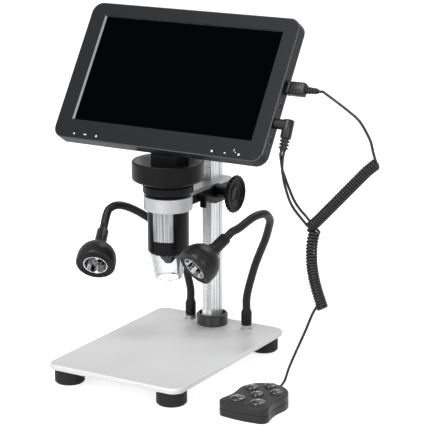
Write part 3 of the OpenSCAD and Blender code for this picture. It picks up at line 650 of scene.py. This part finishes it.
plug_body = block((12.8, 9.8, 6.8), (8.6, 0, 0), 1.5, PLUG)
plug_collar = block((2.4, 9.6, 6.2), (1.4, 0, 0), 0.5, PLUG)
plug_pad = block((8.4, 4.8, 0.9), (8.4, 0, 3.4), 0.4, PLUG)
plug_tongue = block((5.9, 6.4, 2), (-2.6, 0, 0), 0.2, PLUG)
relief = turned(ribbed((14, 24.6), [(15.2 + 2.3 * k, 2.7 - 0.15 * k) for k in range(4)], 1.9),
                at(SIDE, PLUG_Y, PLUG_Z) @ turn(90, "Y"))
usb_plug = piece("usb_plug_moulded", merged(plug_body, plug_collar, plug_pad, plug_tongue, relief),
                 cord_black, ["usb_plug"], "display")

DC = at(SIDE + DC_OUT, DC_Y, DC_Z) @ turn(180 - DC_LEAN, "X")
barrel = turned([(0, -5), (1.75, -5), (1.75, 0), (3.4, 0), (3.8, 0.4), (3.8, DC_OUT), (0, DC_OUT)],
                at(SIDE, DC_Y, DC_Z) @ turn(90, "Y"), 40)
elbow = turned([(0, -4), (3, -4), (3.6, -3.75), (4, -3.1), (4, 8.7), (3.9, 9.4), (3.5, 10), (2.8, 10.3),
                (0, 10.3)], DC, 40)
dc_relief = turned(ribbed((9, DC_REACH), [(11.1 + 2.5 * k, 3.6 - 0.1 * k) for k in range(3)], 2.4), DC)
dc_plug = piece("dc_plug_moulded", merged(barrel, elbow, dc_relief), cord_black, ["dc_plug"], "display")

COIL_TOP, COIL_KNEE = (SIDE + 75.3, 12, 159.1), (SIDE + 23, 12, 105.2)
LOWER_TOP, COIL_FOOT = (SIDE + 27.9, 12, 105), (SIDE + 35, 12, 46.5)


def wound(line, radius, pitches):
    """The wire of a spring round a line: the radius of its turns and its pitch along the way."""
    per_turn, parts = 14, 24
    fine = [line[0]]
    for start, end in zip(line, line[1:]):
        fine += [start.lerp(end, k / parts) for k in range(1, parts + 1)]
    ways = headings(fine)
    reached = [0.0]
    for start, end in zip(fine, fine[1:]):
        reached.append(reached[-1] + (end - start).length)
    wire, gone, angle, i = [], 0.0, 0.0, 0
    while gone < reached[-1]:
        while reached[i] < gone:
            i += 1
        ahead, side = ways[i]
        out = math.cos(angle) * side + math.sin(angle) * ahead.cross(side)
        wire.append(fine[i] + radius * MM * out)
        share = gone / reached[-1] * (len(pitches) - 1)
        low = min(int(share), len(pitches) - 2)
        gone += (pitches[low] + (pitches[low + 1] - pitches[low]) * (share - low)) * MM / per_turn
        angle += 2 * math.pi / per_turn
    return wire


def wire_piece(name, line, node, bodies, **facts):
    """A cord along a line. With one body it rides on that body; with two it is left in place, attached
    to neither.
    """
    made = piece(name, swept(line, [WIRE_RADIUS * MM] * len(line), 10), cord_black, [node],
                 bodies[0] if len(bodies) == 1 else None, 60)
    if len(bodies) == 2:
        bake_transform(made)


upper_wire = wound(curve([COIL_TOP, (SIDE + 68.1, 12, 152.8), (SIDE + 60.8, 12, 145.1),
                          (SIDE + 45.4, 12, 128.5), (SIDE + 30, 12, 112), COIL_KNEE], 8),
                   3.3, [2.2, 2.2])
lower_wire = wound(curve([LOWER_TOP, (SIDE + 25.5, 12, 94.5), (SIDE + 25.5, 12, 79),
                          (SIDE + 28.6, 12, 63.8), COIL_FOOT], 8),
                   3.4, [2.5, 2.5, 2.1, 2.05, 2.02])
usb_line = curve([(SIDE + 24.6 + 2 * k, PLUG_Y, PLUG_Z) for k in range(3)]
                 + [(SIDE + 31.6, 19, 203), (SIDE + 41, 17.5, 198.4), (SIDE + 51.3, 15.5, 193.2),
                    (SIDE + 58.4, 14, 189.2), (SIDE + 62.8, 13, 185.4), (SIDE + 67.1, 12.5, 179.5),
                    (SIDE + 70.5, 12, 173.8), (SIDE + 72.7, 12, 166)] + [upper_wire[0] / MM], 4)
wire_piece("usb_wire_soft", usb_line, "usb_wire", ("display", "carriage"), with_pieces=[usb_plug])
wire_piece("coil_upper_spring", upper_wire, "coil_upper", ("carriage",))
wire_piece("coil_lower_spring", lower_wire, "coil_lower", ("carriage",))

DC_WAY = Vector((0, -math.sin(math.radians(DC_LEAN)), -math.cos(math.radians(DC_LEAN))))
DC_END = Vector((SIDE + DC_OUT, DC_Y, DC_Z)) + DC_REACH * DC_WAY
LEAD_SIDE = Vector((0.9, -0.55 * DC_WAY.z, 0.55 * DC_WAY.y))
KNEE = Vector(COIL_KNEE)
lead_a = curve([DC_END + LEAD_SIDE + 1.5 * k * DC_WAY for k in range(3)]
               + [(SIDE + 11.2, -7.5, 158), (SIDE + 10.6, -6.9, 151), (SIDE + 10.4, -5, 145.5),
                  (SIDE + 10.6, -3.2, 139.5), (SIDE + 12.1, 1.8, 126.7), (SIDE + 15, 5, 119),
                  (SIDE + 20, 8, 111.5), KNEE + Vector((0.2, -2.5, 2))], 4)
lead_b = curve([DC_END - LEAD_SIDE + 1.5 * k * DC_WAY for k in range(3)]
               + [(SIDE + 9.3, -6.4, 157.5), (SIDE + 9.3, -4.3, 150.5), (SIDE + 10.4, -2.6, 145),
                  (SIDE + 11.7, -1, 139.4), (SIDE + 14.7, 4, 126.6), (SIDE + 18.9, 6.8, 119),
                  (SIDE + 22.2, 8.2, 115), KNEE + Vector((2.6, -2.5, 5))], 4)
wire_piece("dc_lead_a_soft", lead_a, "dc_lead_a", ("display", "carriage"), with_pieces=[dc_plug])
wire_piece("dc_lead_b_soft", lead_b, "dc_lead_b", ("display", "carriage"))

REMOTE_X = 104.4
remote_line = curve([Vector(COIL_FOOT) + Vector((-3.6, -1.5, 2)), (118.5, 7, 42.5), (115, 4, 31),
                     (111.5, -2, 18), (108, -8, 4.5), (106.4, -12, -5)]
                    + [(REMOTE_X, -17 - 3 * k, -9.5) for k in range(3)], 5)
wire_piece("remote_wire_soft", remote_line, "remote_wire", ("carriage", "stand"))


# --- Gooseneck lamps -----------------------------------------------------------------------
# Each lamp is a rubber-covered head on a bendable metal hose, with a chrome reflector and one
# white diode. The hose plugs into a black socket on a threaded stud. Its last stretch, behind
# the head, is a piece of its own, attached to no body.

lamp_rubber = moulded("lamp_rubber", (0.007, 0.007, 0.0078), 0.34, 1400, 0.1, specular=0.28)
# The reflector's wall is a painted reflection: dark blotchy chrome with bright facets as painted glints.
# Its rim is bright chrome.
reflector_painted_reflection = brushed("reflector_painted_reflection", (0.16, 0.16, 0.17), (260, 260, 260), 14.0, 0.06)
chrome_rim_and_painted_glints = brushed("chrome_rim_and_painted_glints", (0.85, 0.85, 0.87), (300, 300, 300), 0.1, 0.15)
diode_white = moulded("diode_white", (0.95, 0.93, 0.7), 0.2, 900, 0.05, coat=0.6)
SLEEVE_BACK = 30
HOSE_RADIUS, HOSE_RIB, RIB_PITCH = 3.1, 0.06, 1.9
BASE_TOP = 16.02
BEND_POINTS = 60
FACETS = 7
# For each lamp: the head's two angles, its centre, the stud, and the points along the hose.
LAMPS = {
    "left": (-67.8, 122.7, (-44, -31.5, 69.5), (-21, 66),
             [(-21, 66, 24), (-22.6, 65.4, 33), (-25, 62.5, 47.5), (-30, 56, 63), (-37, 45, 79),
              (-43, 31.5, 90.5), (-48, 18.5, 98.5), (-52, 9.5, 101.5), (-55.5, 4, 99.5),
              (-56, 0.5, 95.5)]),
    "right": (-110.2, 121, (43.4, -27.3, 78.2), (30.2, 66),
              [(30.2, 66, 24), (31.5, 65.8, 31), (34, 65.5, 40), (39, 64, 54), (45.2, 61.5, 67),
               (51, 58, 77.5), (56.4, 53, 88), (60.8, 47, 96.5), (62.5, 38, 103), (62, 31.5, 104.6),
               (60, 24, 103.9), (58, 15, 101.1), (56.6, 8, 98.7)])}

# Outlines as (radius, height), those of the head's parts about its axis and the base's about its stud.
R = 15
BACK_DOME = [(R * math.cos(math.radians(a)), R * math.sin(math.radians(a))) for a in range(-66, 0, 6)]
FRONT_GROOVES = [point for r in (13.4, 12.1, 10.8)
                 for point in ((r, 5.5), (r - 0.1, 5.15), (r - 0.6, 5.15), (r - 0.7, 5.5))]
HEAD = ([(0, -13.9), (5.2, -13.9)] + BACK_DOME
        + [(R, 0), (R, 1.2), (R - 0.25, 1.35), (R - 0.25, 1.65), (R, 1.8), (R, 4.5), (R - 0.25, 5.1),
           (R - 0.8, 5.5)]
        + FRONT_GROOVES + [(9.6, 5.5), (9.2, 5.2), (9.2, -4), (0, -4)])
SLEEVE = [(0, -SLEEVE_BACK), (3.5, -SLEEVE_BACK), (4.2, -29.4), (4.5, -28.4), (4.5, -17.2), (4.3, -17),
          (4.3, -16.7), (5.1, -16.2), (5.6, -15.2), (5.6, -13.7), (0, -13.7)]
BOWL = [(1.9, -3.8), (5.4, -3.8), (8.2, 0.2), (9.1, 5.2), (9.1, 5.6), (8.5, 5.6), (8.2, 5), (7.2, 0.6),
        (5.2, -2.6), (4.6, -3), (1.9, -3), (1.9, -3.8)]
DIODE = [(0, -3.9), (1.8, -3.9), (1.8, -1.6), (1.5, -0.7), (0.9, -0.1), (0, 0.1)]
BASE = [(0, 3.2), (3.6, 3.2), (3.8, 3.4), (4.15, 4.8), (4.2, 13.4), (4, 14), (3.6, 14.5), (3.4, 15.6),
        (3.2, 16), (0, 16)]


def rim_and_glint_faces(place):
    """The test for the faces of the reflector's rim and of the facets of its wall that carry a painted
    reflection.
    """
    def chosen(face):
        spot = place.inverted() @ face.center
        facet = spot.z > 1.5 * MM and math.cos(FACETS * math.atan2(spot.y, spot.x)) > 0.4
        return facet or spot.z > 5.4 * MM
    return chosen


for which, (swing, polar, head, foot, route) in LAMPS.items():
    place = at(*head) @ turn(swing, "Z") @ turn(polar, "Y")
    axis = place.to_3x3() @ Vector((0, 0, 1))
    arm_body, head_body = "lamp_" + which + "_arm", "lamp_" + which + "_head"
    line = curve([(*foot, BASE_TOP)] + route
                 + [Vector(head) - (SLEEVE_BACK + 3 * k) * axis for k in (2, 1, 0)], 24)
    radii, gone = [], 0.0
    for i, point in enumerate(line):
        gone += (point - line[max(i - 1, 0)]).length
        radii.append((HOSE_RADIUS + HOSE_RIB * math.cos(2 * math.pi * gone / (RIB_PITCH * MM))) * MM)
    cut = len(line) - BEND_POINTS
    piece("gooseneck_" + which + "_hose", swept(line[:cut + 1], radii[:cut + 1], 20), lamp_rubber,
          ["gooseneck_" + which], arm_body, 60)
    bend = piece("gooseneck_" + which + "_bend", swept(line[cut:], radii[cut:], 20), lamp_rubber,
                 ["gooseneck_" + which], None, 60)
    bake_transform(bend)
    piece("lamp_shell_" + which + "_cup", turned(HEAD, place, 96), lamp_rubber,
          ["lamp_shell_" + which], head_body, 30)
    piece("lamp_sleeve_" + which + "_grip", turned(SLEEVE, place, 48), lamp_rubber,
          ["lamp_sleeve_" + which], head_body, 30)
    bowl = piece("reflector_" + which + "_bowl", turned(BOWL, place, 96), reflector_painted_reflection,
                 ["reflector_" + which], head_body, 30)
    repaint(bowl, chrome_rim_and_painted_glints, rim_and_glint_faces(place))
    piece("lamp_led_" + which + "_dome", turned(DIODE, place, 40), diode_white,
          ["lamp_led_" + which], head_body, 30)
    piece("lamp_base_" + which + "_socket", turned(BASE, at(*foot, 0), 48), black_moulding,
          ["lamp_base_" + which], arm_body, 30)


# --- Remote control ------------------------------------------------------------------------
# A waisted black shell in two halves that lies on the table, at the end of the curly cord.
# Six domed keys stand in shallow wells in its top, each with a plain raised mark.

remote_satin = moulded("remote_satin", (0.016, 0.016, 0.017), 0.4, 1600, 0.15, specular=0.35)
key_dark = moulded("key_dark", (0.012, 0.012, 0.013), 0.16, 1300, 0.04, coat=0.9, specular=0.7)
key_marks = moulded("key_marks", (0.6, 0.6, 0.62), 0.3, 1300, 0.05, coat=0.6)
REMOTE = at(REMOTE_X, 0, 0)
REMOTE_LOW, SEAM_LOW, SEAM_HIGH, REMOTE_TOP = -15.5, -9.9, -9.7, -4
# Each key's place and radius.
KEYS = {"key_left": (-9.9, -39, 4.5), "key_back": (0, -29.3, 4.5), "key_right": (9.9, -39, 4.5),
        "key_centre": (0, -49, 4.5), "key_front_left": (-8.2, -62.8, 5.65),
        "key_front_right": (8.2, -62.8, 5.65)}


def arc(centre, radius, first, last, steps):
    """Points on a circle from one angle to another."""
    return [(centre[0] + radius * math.cos(math.radians(first + (last - first) * k / steps)),
             centre[1] + radius * math.sin(math.radians(first + (last - first) * k / steps)))
            for k in range(steps + 1)]


waist = [(p.x / MM, p.y / MM)
         for p in curve([(18.4, -43.5, 0), (17.6, -49, 0), (17.3, -54, 0), (17.9, -60, 0),
                         (19.3, -66.4, 0)], 4)]
half = arc((0, -41.1), 18.6, 90, -6, 24) + waist[1:-1] + arc((13.4, -67.4), 6, 8, -88, 10) + [(5, -74.3)]
outline = half + [(-x, y) for x, y in reversed(half[1:])]


def shell(low, high, low_edge, high_edge):
    """A closed slab of the remote's outline with a rounded edge below and above."""
    bm = bmesh.new()
    rings = []
    for edge, level, way in ((low_edge, low, 1), (high_edge, high, -1)):
        steps = [(edge * (1 - math.sin(math.radians(a))),
                  level + way * edge * (1 - math.cos(math.radians(a)))) for a in (0, 22, 45, 68, 90)]
        rings += steps if way > 0 else steps[::-1]
    loops = []
    for inset, level in rings:
        loop = []
        for i, (x, y) in enumerate(outline):
            (ax, ay), (bx, by) = outline[i - 1], outline[(i + 1) % len(outline)]
            across = Vector((ay - by, bx - ax)).normalized()
            loop.append(bm.verts.new(Vector((x - across.x * inset, y - across.y * inset, level)) * MM))
        loops.append(loop)
    for lower, upper in zip(loops, loops[1:]):
        for k in range(len(outline)):
            ahead = (k + 1) % len(outline)
            bm.faces.new((lower[k], lower[ahead], upper[ahead], upper[k]))
    bm.faces.new(loops[0][::-1])
    bm.faces.new(loops[-1])
    bmesh.ops.recalc_face_normals(bm, faces=bm.faces)
    bm.transform(REMOTE)
    return bm


piece("remote_lower_shell", shell(REMOTE_LOW, SEAM_LOW, 0.8, 0.25), remote_satin,
      ["remote_base"], "stand", 50)
wells = [turned([(r + 0.15, -4.05), (r + 0.5, -3.92), (r + 0.9, -3.9), (r + 1.3, -4.05)],
                REMOTE @ at(x, y, 0), 40) for x, y, r in KEYS.values()]
piece("remote_upper_shell", merged(shell(SEAM_HIGH, REMOTE_TOP, 0.25, 1.4), *wells), remote_satin,
      ["remote_top"], "stand", 50)

KEY_TOP, KEY_LOW, BOW = -1.8, -8, 2.4
# Each key's raised marks: their place on the key and their width and height.
MARKS = {"key_left": [(0, 0, 2.6, 0.6)], "key_back": [(0, 0, 2.2, 0.6), (0, 0, 0.6, 2.2)],
         "key_right": [(-0.8, 0, 0.5, 2.2), (0.8, 0, 0.5, 2.2)], "key_centre": [(0, 0, 1.4, 1.4)],
         "key_front_left": [(0, 0.9, 3, 0.5), (0, -0.9, 3, 0.5)],
         "key_front_right": [(0, 0, 2.8, 0.6), (0, 0, 0.6, 2.8)]}


def dome_z(reach, r):
    """The height of a key's dome at a reach from its middle."""
    return KEY_TOP - BOW * r + math.sqrt(max(0, (BOW * r) ** 2 - reach ** 2))


def raised(x, y, r):
    """The test for the faces of a key's marks, which stand just above its dome."""
    def chosen(face):
        near = math.hypot(face.center.x / MM - REMOTE_X - x, face.center.y / MM - y)
        return face.center.z > (dome_z(near, r) + 0.06) * MM and near < r - 1
    return chosen


for name, (x, y, r) in KEYS.items():
    place = REMOTE @ at(x, y, 0)
    top = [(r * k / 8, dome_z(r * k / 8, r)) for k in range(8)]
    rim_z = dome_z(r, r)
    cap = turned(top + [(r - 0.15, rim_z), (r, rim_z - 0.3), (r, KEY_LOW), (0, KEY_LOW)], place, 40)
    signs = [block((w, h, 0.3), (u, v, KEY_TOP - 0.05), 0.1, place) for u, v, w, h in MARKS[name]]
    made = piece(name + "_cap", merged(cap, *signs), key_dark, [name], name, 40)
    repaint(made, key_marks, raised(x, y, r))
